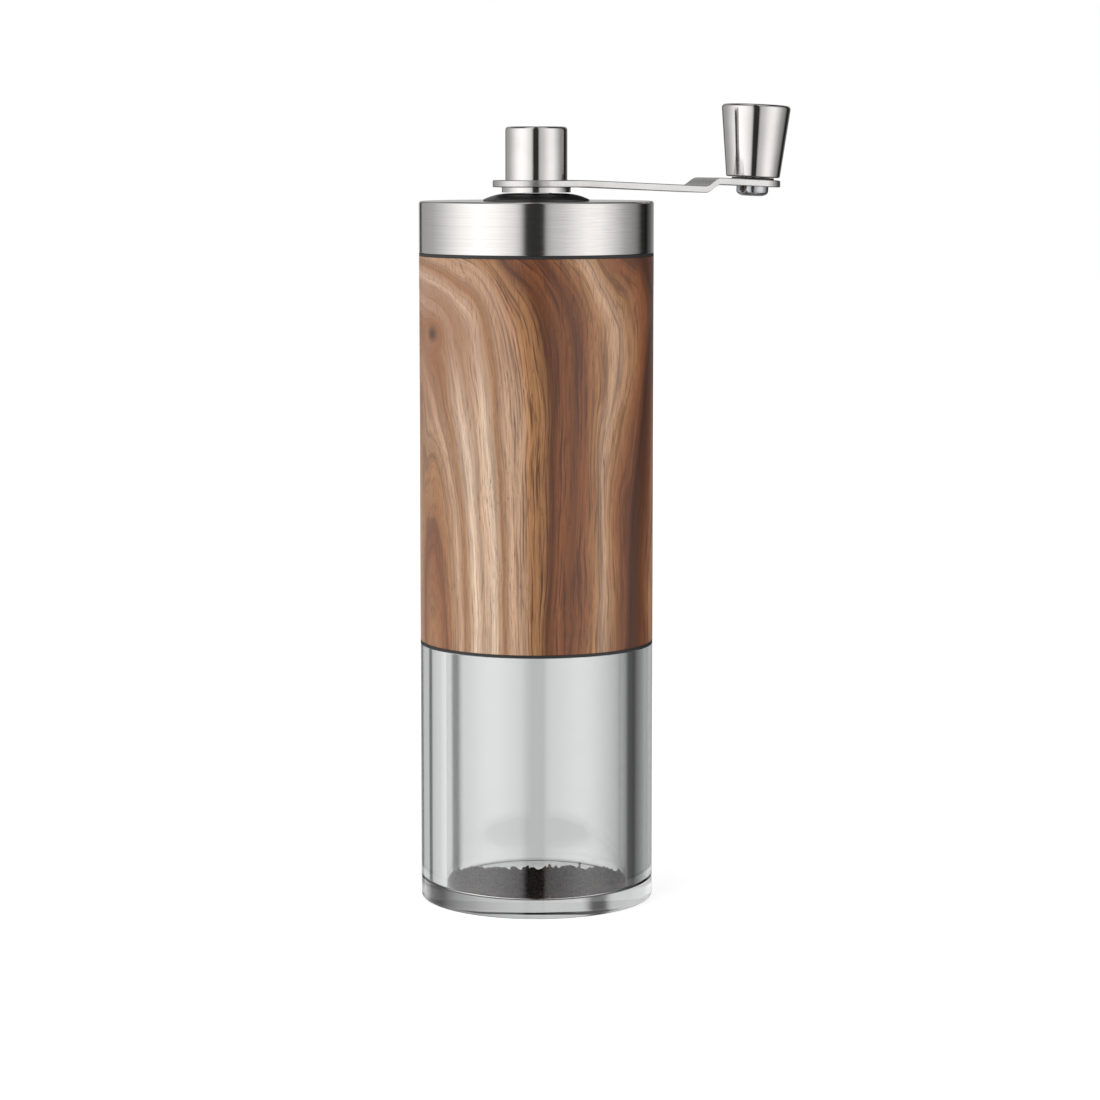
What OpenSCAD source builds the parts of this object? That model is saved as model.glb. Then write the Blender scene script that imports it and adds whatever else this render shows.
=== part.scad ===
// Hand-cranked burr coffee grinder with a clear grounds cup, a wood-grained barrel,
// a steel lid and a lift-off crank. Millimetres.
// The origin is the centre of the cup's underside, +Z is up and the crank arm points along +X.

/* [Body] */
// Outer diameter shared by the cup, the barrel and the lid
body_d = 50; // [50:0.5:54]
// Height of the clear cup from its underside to its shoulder
cup_h = 55.4; // [48:0.1:60]
// Height of the wood-grained sleeve
sleeve_h = 82.3; // [78:0.1:90]
// Height of the steel lid
lid_h = 11; // [10:0.1:14]
// Thickness of the black trim rings at both ends of the sleeve
trim_t = 0.6; // [0.4:0.1:1.2]

/* [Cup] */
// Radius of the cup's cavity
cavity_r = 19.6; // [18.8:0.1:19.8]
// Thickness of the cup's floor
cup_floor = 3.2; // [2:0.1:5]
// Height of the neck that plugs into the barrel
neck_h = 9.1; // [8.4:0.1:9.6]
// Depth of the ground coffee lying in the cup
grounds_depth = 1.8; // [1:0.1:6]

/* [Barrel] */
// Wall of the wood-grained sleeve
sleeve_wall = 1.5; // [1:0.1:1.5]
// Inner radius of the housing tube
housing_r = 22; // [22:0.1:22.2]

/* [Drive] */
// Diameter of the round shaft
shaft_d = 7; // [6.9:0.1:7.2]
// Distance across the flats of the hexagon that the crank sits on
hex_af = 6; // [5.6:0.1:6]
// Diameter of the threaded end that carries the adjusting nut
thread_d = 6; // [5.5:0.1:6]
// Radial clearance of everything that turns or slides
running_gap = 0.05; // [0.03:0.01:0.08]

/* [Burrs] */
// Number of fine grooves on each burr
fine_grooves = 24; // [12:1:30]
// Number of coarse feeding grooves on the inner burr
feed_grooves = 6; // [3:1:8]
// Number of finger scallops round the adjusting nut
nut_scallops = 12; // [8:1:14]

/* [Crank] */
// Distance from the shaft's axis to the knob's axis
crank_reach = 50.5; // [48:0.5:70]
// Thickness of the crank arm's steel strip
arm_t = 1.5; // [1.2:0.1:2]
// Radius of the arm's end round the hub
arm_hub_r = 9.3; // [8.5:0.1:11]
// Radius of the arm's end under the knob
arm_knob_r = 6; // [5.5:0.1:7]
// Angle by which the arm droops towards the knob
arm_droop = 2.6; // [0:0.1:4]
// Height of the upward joggle before the knob
arm_joggle = 1.9; // [1:0.1:3]
// Diameter of the hub above the arm
hub_d = 13.2; // [12:0.1:15]
// Height of the hub above the arm
hub_h = 11.3; // [10:0.1:14]

/* [Knob] */
// Height of the knob
knob_h = 15.7; // [14:0.1:20]
// Diameter of the knob at its top
knob_top_d = 15.2; // [13:0.1:18]
// Diameter of the knob at its foot
knob_foot_d = 11.7; // [11:0.1:13]

/* [Hidden] */
$fn = 96;

// Heights along the barrel
body_r = body_d / 2;
shoulder_z = cup_h;
sleeve_z = shoulder_z + trim_t;
sleeve_top_z = sleeve_z + sleeve_h;
lid_z = sleeve_top_z + trim_t;
lid_top_z = lid_z + lid_h;
neck_top_z = shoulder_z + neck_h;
ledge_z = shoulder_z + 10.9;
ledge_t = 2;
retainer_z = ledge_z + ledge_t;
retainer_t = 1.2;
burr_z = retainer_z + retainer_t;
burr_h = 13.8;
burr_top_z = burr_z + burr_h;
spider_z = burr_top_z + 2.5;
hub_low_z = spider_z + 2;
hub_high_z = hub_low_z + 22;

// Radii inside the barrel
sleeve_inner_r = body_r - sleeve_wall;
seat_r = housing_r - running_gap;
outer_burr_r = 19;
screw_circle_r = 20.4;
screw_r = 1;
screw_head_rim_r = 1.5;
screw_count = 3;
shaft_r = shaft_d / 2;
bore_r = shaft_r + running_gap;
thread_r = thread_d / 2;
thread_bore_r = thread_r + running_gap;
thread_flats = thread_d - 1;
bush_r = 5;
bush_flange_t = 0.8;
bush_flange_r = 6.2;
spider_hub_r = 6.3;

// Inner burr, its drive plate and the adjusting nut, hung from the shaft
burr_overhang = 0.8;
burr_base_z = burr_z - burr_overhang;
burr_tip_z = burr_top_z + 0.5;
burr_base_r = 14.08;
burr_edge_r = 13.72;
burr_throat_r = 11.32;
burr_throat_z = burr_z + 5.3;
burr_tip_r = 7;
burr_gap = 0.28;
spring_seat_z = burr_base_z + 7.1;
spring_pocket_r = 4.9;
drive_plate_t = 1.9;
drive_plate_z = burr_base_z - drive_plate_t;
click_plate_t = 0.5;
click_plate_z = drive_plate_z - click_plate_t;
nut_gap = 0.5;
nut_r = 11;
nut_h = 5.2;
nut_boss_h = 1.3;
nut_top_z = click_plate_z - nut_gap;
nut_z = nut_top_z - nut_h;
lug_r = 8.5;
lug_w = 3;
lug_h = 1.4;
lug_count = 3;
click_r = 8;

// Shaft stations
shaft_foot_z = nut_z - nut_boss_h - 2;
shaft_shoulder_z = burr_base_z + 5.1;
circlip_z = hub_high_z + 0.55;
circlip_t = 0.7;
circlip_groove_r = shaft_r - 0.5;
hex_z = hub_high_z + 6;
washer_t = 0.5;

// Crank stack
dome_r = 11.3;
dome_h = 1.6;
collar_z = lid_top_z + dome_h + 0.2;
collar_t = 1.1;
collar_r = 7.35;
arm_z = collar_z + collar_t;
arm_top_z = arm_z + arm_t;
hub_top_z = arm_top_z + hub_h;
spigot_r = 5;
hex_top_z = hub_top_z - 2.8;
socket_top_z = hex_top_z + 0.8;
arm_flat_x = 8.5;
joggle_x0 = crank_reach - 13.6;
joggle_x1 = crank_reach - 11;

// Knob axis: it stands square on the arm's drooping end pad
knob_seat_z = arm_top_z - (crank_reach - arm_flat_x) * tan(arm_droop) + arm_joggle;
knob_gap = 0.5;
knob_screw_r = 2.5;
knob_bush_r = 3.6;
knob_bush_h = 9.6;
knob_bore_h = 12;
screw_head_r = 3.5;
screw_head_h = 2.1;
knob_clip_z = knob_gap + knob_bush_h + 0.3;
knob_clip_t = 0.6;
knob_clip_groove_r = knob_screw_r - 0.5;

// Points of a round stretch of an outline, from angle a0 to angle a1
function arc(centre, r, a0, a1, steps = 6) =
    [for (i = [0:steps]) let (a = a0 + (a1 - a0) * i / steps) centre + r * [cos(a), sin(a)]];

// Centre line of a coil spring: closed end turns and open turns between them
function coil_z(t, turns, low, high, wire) =
    let (closed = 1, rise = high - low - 2 * closed * wire)
    t < closed ? low + t * wire
    : t > turns - closed ? high - (turns - t) * wire
    : low + closed * wire + rise * (t - closed) / (turns - 2 * closed);

module tube(r_out, r_in, z, h) {
    rotate_extrude() translate([r_in, z]) square([r_out - r_in, h]);
}

module hexagon(af, h) {
    cylinder(r = af / 2 / cos(30), h = h, $fn = 6);
}

// Round bar with two flats
module double_flat(r, flats, z, h) {
    translate([0, 0, z]) intersection() {
        cylinder(r = r, h = h);
        translate([-flats / 2, -r - 1, 0]) cube([flats, 2 * r + 2, h]);
    }
}

// Ring of holes or studs for the long carrier screws
module on_screw_circle() {
    for (i = [0:screw_count - 1]) rotate(i * 360 / screw_count) translate([screw_circle_r, 0, 0]) children();
}

module screw_holes(z, h) {
    on_screw_circle() translate([0, 0, z]) cylinder(r = screw_r + running_gap, h = h, $fn = 24);
}

// V-shaped cutter laid along a cone's side from (r0, z0) to (r1, z1), skewed by lead
module groove_cutter(r0, z0, r1, z1, depth, lead) {
    length = norm([r1 - r0, z1 - z0]);
    translate([r0, 0, z0]) rotate([0, atan2(r1 - r0, z1 - z0), 0]) rotate([lead, 0, 0])
        translate([0, 0, -0.15 * length]) linear_extrude(1.3 * length) rotate(45)
            square(depth * sqrt(2), center = true);
}

// Everything that stands on the arm's end pad, drawn about the knob's own axis
module at_knob() {
    translate([crank_reach, 0, knob_seat_z]) rotate([0, arm_droop, 0]) children();
}

// Thick-walled clear cup with a plug-in neck and a groove for its seal
module grounds_cup() {
    edge = 0.4;
    groove_z = shoulder_z + 4.2;
    groove_r = seat_r - 1.4;
    color([0.82, 0.83, 0.84, 0.35]) rotate_extrude() polygon(concat(
        [[0, 0]],
        arc([body_r - edge, edge], edge, -90, 0, 3),
        [[body_r, shoulder_z], [seat_r, shoulder_z], [seat_r, groove_z], [groove_r, groove_z],
         [groove_r, groove_z + 1.8], [seat_r, groove_z + 1.8], [seat_r, neck_top_z - 0.5],
         [seat_r - 0.5, neck_top_z], [cavity_r, neck_top_z], [cavity_r, cup_floor], [0, cup_floor]]
    ));
}

// Thin bed of ground coffee lying against the cup's floor, short of the wall at +Y
module coffee_grounds() {
    bed_r = cavity_r - 0.2;
    color("#1d1114") translate([0, 0, cup_floor]) intersection() {
        cylinder(r = bed_r, h = grounds_depth);
        translate([-bed_r - 1, -bed_r - 1, 0]) cube([2 * bed_r + 2, bed_r + 11, grounds_depth]);
    }
}

module cup_seal() {
    ring_r = 0.7;
    color("#202022") translate([0, 0, shoulder_z + 5.1]) rotate_extrude()
        translate([seat_r - ring_r, 0]) circle(r = ring_r, $fn = 24);
}

module wood_sleeve() {
    color("#a07a5c") tube(body_r, sleeve_inner_r, sleeve_z, sleeve_h);
}

// Black tube behind the sleeve; its ledge carries the burr stack
module inner_housing() {
    ledge_r = 18;
    color("#1b1b1d") difference() {
        rotate_extrude() polygon([
            [housing_r, sleeve_z], [sleeve_inner_r, sleeve_z], [sleeve_inner_r, sleeve_top_z],
            [housing_r, sleeve_top_z], [housing_r, retainer_z], [ledge_r, retainer_z],
            [ledge_r, ledge_z], [housing_r, ledge_z]
        ]);
        screw_holes(ledge_z - 1, ledge_t + 2);
    }
}

module lower_trim_ring() {
    color("#111112") tube(body_r, housing_r, shoulder_z, trim_t);
}

module upper_trim_ring() {
    color("#111112") tube(body_r, housing_r, sleeve_top_z, trim_t);
}

// Funnel that holds the outer burr and guides the beans into it
module burr_carrier() {
    pocket_r = outer_burr_r + running_gap;
    throat_r = 12.8;
    color("#2a2a2c") difference() {
        rotate_extrude() polygon([
            [pocket_r, burr_z], [seat_r, burr_z], [seat_r, spider_z], [pocket_r, spider_z],
            [throat_r, burr_top_z + 1.1], [throat_r, burr_top_z], [pocket_r, burr_top_z]
        ]);
        screw_holes(burr_z - 1, spider_z - burr_z + 2);
    }
}

// Ceramic ring burr, grooved on its inside
module outer_burr() {
    mouth_r = 12;
    edge_r = burr_edge_r + burr_gap;
    throat_r = burr_throat_r + burr_gap;
    color("#e9e6de") difference() {
        rotate_extrude() polygon([
            [edge_r, burr_z], [outer_burr_r, burr_z], [outer_burr_r, burr_top_z],
            [mouth_r, burr_top_z], [throat_r, burr_throat_z]
        ]);
        for (i = [0:fine_grooves - 1]) rotate(i * 360 / fine_grooves)
            groove_cutter(edge_r, burr_z, throat_r, burr_throat_z, 0.45, -25);
    }
}

module burr_retainer() {
    color("#2a2a2c") difference() {
        tube(seat_r, 14.8, retainer_z, retainer_t);
        screw_holes(retainer_z - 1, retainer_t + 2);
    }
}

// Three long screws that clamp the ledge, retainer, carrier and spider together
module carrier_screws() {
    color("#9a9a9c") on_screw_circle() difference() {
        union() {
            translate([0, 0, ledge_z - 1.3]) cylinder(r = screw_head_rim_r, h = 1.3, $fn = 32);
            translate([0, 0, ledge_z - 0.5]) cylinder(r = screw_r, h = spider_z + 4 - ledge_z, $fn = 24);
        }
        translate([-0.25, -2, ledge_z - 1.8]) cube([0.5, 4, 1]);
    }
}

// Three-armed bracket that carries both bushes down the middle of the hopper
module bearing_spider() {
    ring_r = outer_burr_r;
    ring_h = 6;
    arm_w = 3;
    arm_h = 2.6;
    hub_tube_h = hub_high_z - hub_low_z - 2 * bush_flange_t;
    color("#3a3a3c") difference() {
        union() {
            tube(spider_hub_r, bush_r, hub_low_z + bush_flange_t, hub_tube_h);
            tube(seat_r, ring_r, spider_z, ring_h);
            for (i = [0:screw_count - 1]) rotate(i * 360 / screw_count)
                translate([spider_hub_r - 0.4, -arm_w / 2, spider_z + 3])
                    cube([ring_r - spider_hub_r + 1, arm_w, arm_h]);
        }
        screw_holes(spider_z - 1, ring_h - 0.5);
    }
}

// Flanged bush, flange down when seen from its own origin
module flanged_bush() {
    color("#d8c9a0") {
        rotate_extrude() polygon([
            [bore_r, 0], [bush_flange_r, 0], [bush_flange_r, bush_flange_t],
            [bush_r, bush_flange_t], [bush_r, 6], [bore_r, 6]
        ]);
    }
}

module upper_bush() {
    translate([0, 0, hub_high_z]) mirror([0, 0, 1]) flanged_bush();
}

module lower_bush() {
    translate([0, 0, hub_low_z]) flanged_bush();
}

// Shaft: hexagon at the top, round through the bushes, two-flat threaded end at the bottom
module drive_shaft() {
    color("#b9bbbd") difference() {
        union() {
            double_flat(thread_r, thread_flats, shaft_foot_z, shaft_shoulder_z - shaft_foot_z);
            translate([0, 0, shaft_shoulder_z]) cylinder(r = shaft_r, h = hex_z - shaft_shoulder_z);
            translate([0, 0, hex_z]) hexagon(hex_af, hex_top_z - hex_z);
        }
        tube(shaft_r + 1, circlip_groove_r, circlip_z, circlip_t);
    }
}

// Spring-steel C-clip that keeps the shaft from dropping through its bushes
module shaft_circlip() {
    color("#8c8e90") difference() {
        tube(5, circlip_groove_r, circlip_z, circlip_t);
        translate([0, 0, circlip_z - 1]) linear_extrude(circlip_t + 2)
            polygon([[0, 0], [8, -5], [8, 5]]);
    }
}

module thrust_washer() {
    color("#c9cacc") tube(5.8, bore_r, hub_high_z, washer_t);
}

module spring_washer() {
    color("#c9cacc") tube(5.2, bore_r, hub_low_z - washer_t, washer_t);
}

// Coil that pushes the inner burr down on to its nut
module burr_spring() {
    wire_r = 0.35;
    coil_r = 4.2;
    turns = 6;
    steps = 20;
    sides = 6;
    low = spring_seat_z + wire_r;
    high = hub_low_z - washer_t - wire_r;
    rings = turns * steps;
    points = [for (i = [0:rings], j = [0:sides - 1])
        let (a = 360 * i / steps, b = 360 * j / sides, r = coil_r + wire_r * cos(b))
        [r * cos(a), r * sin(a), coil_z(i / steps, turns, low, high, 2 * wire_r) + wire_r * sin(b)]];
    walls = [for (i = [0:rings - 1], j = [0:sides - 1])
        let (k = (j + 1) % sides, p = i * sides)
        [p + j, p + k, p + sides + k, p + sides + j]];
    ends = [[for (j = [0:sides - 1]) sides - 1 - j], [for (j = [0:sides - 1]) rings * sides + j]];
    color("#a5a7a9") polyhedron(points = points, faces = concat(walls, ends));
}

// Ceramic cone burr: coarse grooves feed the beans down to the fine ones
module inner_burr() {
    color("#efece4") difference() {
        rotate_extrude() polygon([
            [bore_r, burr_base_z], [burr_base_r, burr_base_z], [burr_edge_r, burr_z],
            [burr_throat_r, burr_throat_z], [burr_tip_r, burr_tip_z], [spring_pocket_r, burr_tip_z],
            [spring_pocket_r, spring_seat_z], [bore_r, spring_seat_z]
        ]);
        for (i = [0:fine_grooves - 1]) rotate(i * 360 / fine_grooves)
            groove_cutter(burr_base_r, burr_base_z, burr_throat_r, burr_throat_z, 0.45, 25);
        for (i = [0:feed_grooves - 1]) rotate(i * 360 / feed_grooves)
            groove_cutter(burr_throat_r, burr_throat_z + 0.6, burr_tip_r, burr_tip_z, 1.1, 20);
        drive_lugs(lug_w + 0.2, lug_h + 0.2);
    }
}

module drive_lugs(w, h) {
    for (i = [0:lug_count - 1]) rotate(i * 360 / lug_count)
        translate([lug_r - w / 2, -w / 2, burr_base_z - 0.5]) cube([w, w, h + 0.5]);
}

// Plate keyed to the shaft's flats and to pockets in the burr's underside
module burr_drive_plate() {
    color("#8f9193") difference() {
        union() {
            tube(12, thread_r - 1, drive_plate_z, drive_plate_t);
            drive_lugs(lug_w, lug_h);
        }
        double_flat(thread_bore_r, thread_flats + 2 * running_gap, drive_plate_z - 1, drive_plate_t + 2);
    }
}

// Thin plate whose two pips drop into the nut's dimples at each click
module click_plate() {
    pip_h = nut_gap - 0.05;
    color("#b5b7b9") {
        difference() {
            union() {
                tube(10, thread_r - 1, click_plate_z, click_plate_t);
                for (side = [-1, 1]) translate([side * click_r, 0, click_plate_z - pip_h])
                    cylinder(r1 = 0.3, r2 = 0.8, h = pip_h + 0.1, $fn = 24);
            }
            double_flat(thread_bore_r, thread_flats + 2 * running_gap, click_plate_z - 2, click_plate_t + 3);
        }
    }
}

// Finger nut under the burr; a turn raises or lowers the burr by one thread pitch
module adjusting_nut() {
    color("#1f1f21") difference() {
        union() {
            tube(nut_r, thread_bore_r, nut_z, nut_h);
            tube(5.5, thread_bore_r, nut_z - nut_boss_h, nut_boss_h + 1);
        }
        for (i = [0:nut_scallops - 1]) rotate(i * 360 / nut_scallops) {
            translate([nut_r + 0.9, 0, nut_z - 1]) cylinder(r = 1.9, h = nut_h + 2, $fn = 32);
            translate([click_r, 0, nut_top_z - 0.4]) cylinder(r = 0.8, h = 1, $fn = 24);
        }
    }
}

// Drawn steel cap
module lid_shell() {
    wall = 0.8;
    edge = 0.5;
    color("#c4c4c6") rotate_extrude() polygon(concat(
        [[body_r - wall, lid_z], [body_r, lid_z]],
        arc([body_r - edge, lid_top_z - edge], edge, 0, 90, 4),
        [[dome_r + 0.05, lid_top_z], [dome_r + 0.05, lid_top_z - wall], [body_r - wall, lid_top_z - wall]]
    ));
}

// Moulded core of the lid: domed centre with the shaft's hole, and a plug for the barrel's mouth
module lid_insert() {
    hole_r = 4.2;
    boss_r = 6.5;
    top_z = lid_top_z - 0.85;
    plug_z = lid_z - 6.2;
    plug_wall = 1.7;
    ceiling_z = lid_top_z - 2.8;
    groove_z = lid_z - 4;
    rim_r = body_r - 0.85;
    dome_rim_z = lid_top_z + 0.3;
    rise = dome_h - 0.3;
    run = dome_r - collar_r + 1.5;
    dome_curve_r = (run * run + rise * rise) / (2 * rise);
    dome_span = asin(run / dome_curve_r);
    color("#161617") rotate_extrude() polygon(concat(
        [[hole_r, plug_z + 1.6], [boss_r, plug_z + 1.6], [boss_r, ceiling_z],
         [seat_r - plug_wall, ceiling_z], [seat_r - plug_wall, plug_z], [seat_r, plug_z],
         [seat_r, groove_z], [seat_r - 1, groove_z], [seat_r - 1, groove_z + 2], [seat_r, groove_z + 2],
         [seat_r, lid_z], [rim_r, lid_z], [rim_r, top_z], [dome_r, top_z]],
        arc([dome_r - run, dome_rim_z + rise - dome_curve_r], dome_curve_r, 90 - dome_span, 90, 8),
        [[hole_r, lid_top_z + dome_h]]
    ));
}

module lid_seal() {
    color("#2b2b2d") tube(seat_r, seat_r - 1, lid_z - 3.9, 1.8);
}

// Tapered steel strip: flat round the hub, drooping outwards, joggled up to a pad for the knob
module crank_arm() {
    slope = tan(arm_droop);
    bends = [
        [-arm_hub_r - 1, 0], [arm_flat_x, 0],
        [joggle_x0, -(joggle_x0 - arm_flat_x) * slope],
        [joggle_x1, -(joggle_x1 - arm_flat_x) * slope + arm_joggle],
        [crank_reach + arm_knob_r + 1, -(crank_reach + arm_knob_r + 1 - arm_flat_x) * slope + arm_joggle]
    ];
    under = [for (p = bends) p + [0, arm_z]];
    over = [for (i = [len(bends) - 1:-1:0]) bends[i] + [0, arm_top_z]];
    color("#c9c9cb") difference() {
        intersection() {
            rotate([90, 0, 0]) linear_extrude(3 * arm_hub_r, center = true) polygon(concat(under, over));
            translate([0, 0, arm_z - 10]) linear_extrude(30) hull() {
                circle(r = arm_hub_r);
                translate([crank_reach, 0]) circle(r = arm_knob_r);
            }
        }
        translate([0, 0, arm_z - 1]) cylinder(r = spigot_r, h = arm_t + 2);
        at_knob() translate([0, 0, -arm_t - 2]) cylinder(r = knob_screw_r, h = arm_t + 4);
    }
}

// Hub with a blind hexagon socket; its spigot passes through the arm
module crank_hub() {
    edge = 0.7;
    r = hub_d / 2;
    color("#c9c9cb") difference() {
        rotate_extrude() polygon(concat(
            [[0, collar_z], [spigot_r, collar_z], [spigot_r, arm_top_z], [r, arm_top_z]],
            arc([r - edge, hub_top_z - edge], edge, 0, 90, 4),
            [[0, hub_top_z]]
        ));
        translate([0, 0, collar_z - 1]) hexagon(hex_af + 2 * running_gap, socket_top_z - collar_z + 1);
    }
}

module hub_collar() {
    color("#c9c9cb") tube(collar_r, spigot_r, collar_z, collar_t);
}

// Shoulder screw from under the arm, with a domed head, a cross recess and a clip groove
module knob_screw() {
    head_z = -arm_t - screw_head_h;
    dome = 1.1;
    recess = 1.2;
    color("#a9abad") at_knob() difference() {
        rotate_extrude() polygon(concat(
            [[0, head_z]],
            [for (i = [1:5]) let (a = 90 * i / 5) [1.6 + (screw_head_r - 1.6) * sin(a), head_z + dome * (1 - cos(a))]],
            [[screw_head_r, -arm_t], [knob_screw_r, -arm_t], [knob_screw_r, knob_clip_z],
             [knob_clip_groove_r, knob_clip_z], [knob_clip_groove_r, knob_clip_z + knob_clip_t],
             [knob_screw_r, knob_clip_z + knob_clip_t], [knob_screw_r, knob_clip_z + 1],
             [knob_screw_r - 0.3, knob_clip_z + 1.3], [0, knob_clip_z + 1.3]]
        ));
        for (a = [45, 135]) rotate(a) translate([-1.8, -0.4, head_z - 1]) cube([3.6, 0.8, 1 + recess]);
    }
}

module knob_washer() {
    color("#2b2b2d") at_knob() tube(4.6, knob_screw_r + running_gap, 0, knob_gap - 0.1);
}

module knob_clip() {
    color("#8c8e90") at_knob() difference() {
        tube(3.3, knob_clip_groove_r, knob_clip_z, knob_clip_t);
        translate([0, 0, knob_clip_z - 1]) linear_extrude(knob_clip_t + 2)
            polygon([[0, 0], [6, -4], [6, 4]]);
    }
}

// Solid steel knob, wider at the top, bored from below
module crank_knob() {
    edge = 1;
    top_r = knob_top_d / 2;
    foot_r = knob_foot_d / 2;
    top_z = knob_gap + knob_h;
    color("#c9c9cb") at_knob() rotate_extrude() polygon(concat(
        [[knob_bush_r, knob_gap], [foot_r, knob_gap]],
        arc([top_r - edge, top_z - edge], edge, 0, 90, 5),
        [[0, top_z], [0, knob_gap + knob_bore_h], [knob_bush_r, knob_gap + knob_bore_h]]
    ));
}

module knob_bush() {
    color("#d8d4c8") at_knob() tube(knob_bush_r, knob_screw_r + running_gap, knob_gap, knob_bush_h);
}

grounds_cup();
coffee_grounds();
cup_seal();
wood_sleeve();
inner_housing();
lower_trim_ring();
upper_trim_ring();
burr_carrier();
outer_burr();
burr_retainer();
carrier_screws();
bearing_spider();
upper_bush();
lower_bush();
drive_shaft();
shaft_circlip();
thrust_washer();
spring_washer();
burr_spring();
inner_burr();
burr_drive_plate();
click_plate();
adjusting_nut();
lid_shell();
lid_insert();
lid_seal();
crank_arm();
crank_hub();
hub_collar();
knob_screw();
knob_washer();
knob_clip();
crank_knob();
knob_bush();
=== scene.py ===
import math
import random

import bmesh
import bpy
from mathutils import Matrix, Vector, noise


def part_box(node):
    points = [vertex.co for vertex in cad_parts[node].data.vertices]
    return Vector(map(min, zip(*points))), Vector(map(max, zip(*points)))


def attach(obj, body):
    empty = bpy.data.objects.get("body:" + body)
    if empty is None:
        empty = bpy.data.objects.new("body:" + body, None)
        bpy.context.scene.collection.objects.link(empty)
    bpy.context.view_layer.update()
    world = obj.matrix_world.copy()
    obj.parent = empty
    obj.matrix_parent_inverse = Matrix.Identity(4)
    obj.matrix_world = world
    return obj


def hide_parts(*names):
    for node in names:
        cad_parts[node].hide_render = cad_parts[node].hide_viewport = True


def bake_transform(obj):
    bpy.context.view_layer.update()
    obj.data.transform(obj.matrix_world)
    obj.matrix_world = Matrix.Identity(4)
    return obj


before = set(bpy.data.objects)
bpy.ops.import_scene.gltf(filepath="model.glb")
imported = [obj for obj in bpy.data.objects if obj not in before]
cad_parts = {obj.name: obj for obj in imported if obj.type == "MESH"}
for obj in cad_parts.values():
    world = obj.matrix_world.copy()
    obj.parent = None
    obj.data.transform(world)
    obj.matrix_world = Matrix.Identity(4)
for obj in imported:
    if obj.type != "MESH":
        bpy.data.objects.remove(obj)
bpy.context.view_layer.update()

# Lengths below are in millimetres times MM.
MM = 0.001


# --- Camera -------------------------------------------------------------------------------------
# A long lens at lid height, looking slightly down, with the crank pointing right and away from it.
view_turn = math.radians(-21)
camera_distance = 680 * MM
camera_height = 159.3 * MM
camera_aside = 2.9 * MM
look_down = math.radians(6.07)
lens_length = 104.2
sensor_width = 36
picture_shift = -0.05
to_camera = Vector((math.sin(view_turn), -math.cos(view_turn), 0))
to_right = Vector((math.cos(view_turn), math.sin(view_turn), 0))
camera = bpy.data.objects.new("camera", bpy.data.cameras.new("camera"))
camera.data.sensor_width = sensor_width
camera.data.lens = lens_length
camera.data.shift_y = picture_shift
camera.data.clip_start = 10 * MM
camera.location = (to_camera * camera_distance + to_right * camera_aside
                   + Vector((0, 0, camera_height)))
camera.rotation_euler = (math.pi / 2 - look_down, 0, view_turn)
bpy.context.scene.collection.objects.link(camera)
bpy.context.scene.camera = camera


# --- Studio -------------------------------------------------------------------------------------
# A light tent: two tall soft panels with a narrow dark gap where the camera stands, dark flags at
# the back corners, a pale backdrop and a dark ceiling with one soft lamp in it, over a pale floor.
def add_node(tree, kind, inputs=None, stops=None, **settings):
    """Adds a node with its settings. An input, by name or number, takes a value, a socket or a
    node, whose first output is linked. stops are the positions and colours of a colour ramp."""
    node = tree.nodes.new(kind)
    for name, value in settings.items():
        setattr(node, name, value)
    for name, value in (inputs or {}).items():
        socket = node.inputs[name] if isinstance(name, int) else next(
            s for s in node.inputs if s.enabled and s.name == name)
        if isinstance(value, bpy.types.Node):
            value = next(s for s in value.outputs if s.enabled)
        if isinstance(value, bpy.types.NodeSocket):
            tree.links.new(value, socket)
        else:
            socket.default_value = value
    if stops:
        ramp = node.color_ramp
        ramp.elements.remove(ramp.elements[1])
        for index, (position, colour) in enumerate(stops):
            stop = ramp.elements[0] if index == 0 else ramp.elements.new(position)
            stop.position = position
            stop.color = colour
    return node


def grey(value):
    return (value, value, value, 1)


# Brightness round the tent, by bearing in degrees from the camera, positive to its right.
tent_strength = 2.5
tent = [
    (-180, 0.60), (-164, 0.54), (-160, 0.03), (-155, 0.03), (-151, 0.50), (-120, 0.80),
    (-105, 1.15), (-79, 1.95), (-58, 2.35), (-39, 2.10), (-21, 1.55), (-15, 1.10), (-10, 0.06),
    (7, 0.05), (10, 0.75), (15, 1.02), (27, 1.25), (39, 1.65), (51, 1.95), (65, 1.90), (79, 1.40),
    (96, 0.77), (115, 0.40), (125, 0.05), (137, 0.01), (141, 0.08), (150, 0.20), (157, 0.28),
    (163, 0.40), (174, 0.54), (180, 0.60),
]
# Brightness up the tent, by the sine of the height angle. The lamp is the last two.
tent_rise = [
    (-1.0, 0.35), (-0.6, 0.7), (-0.35, 1.0), (0.5, 1.0), (0.72, 0.25), (0.84, 0.15), (0.91, 0.6),
    (1.0, 0.9),
]

world = bpy.data.worlds.new("light tent")
bpy.context.scene.world = world
world.use_nodes = True
tree = world.node_tree
tree.nodes.clear()
direction = add_node(tree, "ShaderNodeMapping", {
    "Vector": add_node(tree, "ShaderNodeTexCoord").outputs["Generated"],
    "Rotation": (0, 0, -view_turn)}, vector_type="POINT")
split = add_node(tree, "ShaderNodeSeparateXYZ", {"Vector": direction})
facing = add_node(tree, "ShaderNodeMath", {0: split.outputs["Y"], 1: -1.0}, operation="MULTIPLY")
bearing = add_node(tree, "ShaderNodeMath", {0: split.outputs["X"], 1: facing}, operation="ARCTAN2")
bearing_part = add_node(tree, "ShaderNodeMapRange", {
    "Value": bearing, "From Min": -math.pi, "From Max": math.pi})
round_tent = add_node(tree, "ShaderNodeValToRGB", {"Fac": bearing_part}, stops=[
    ((degrees + 180) / 360, grey(light / tent_strength)) for degrees, light in tent])
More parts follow.
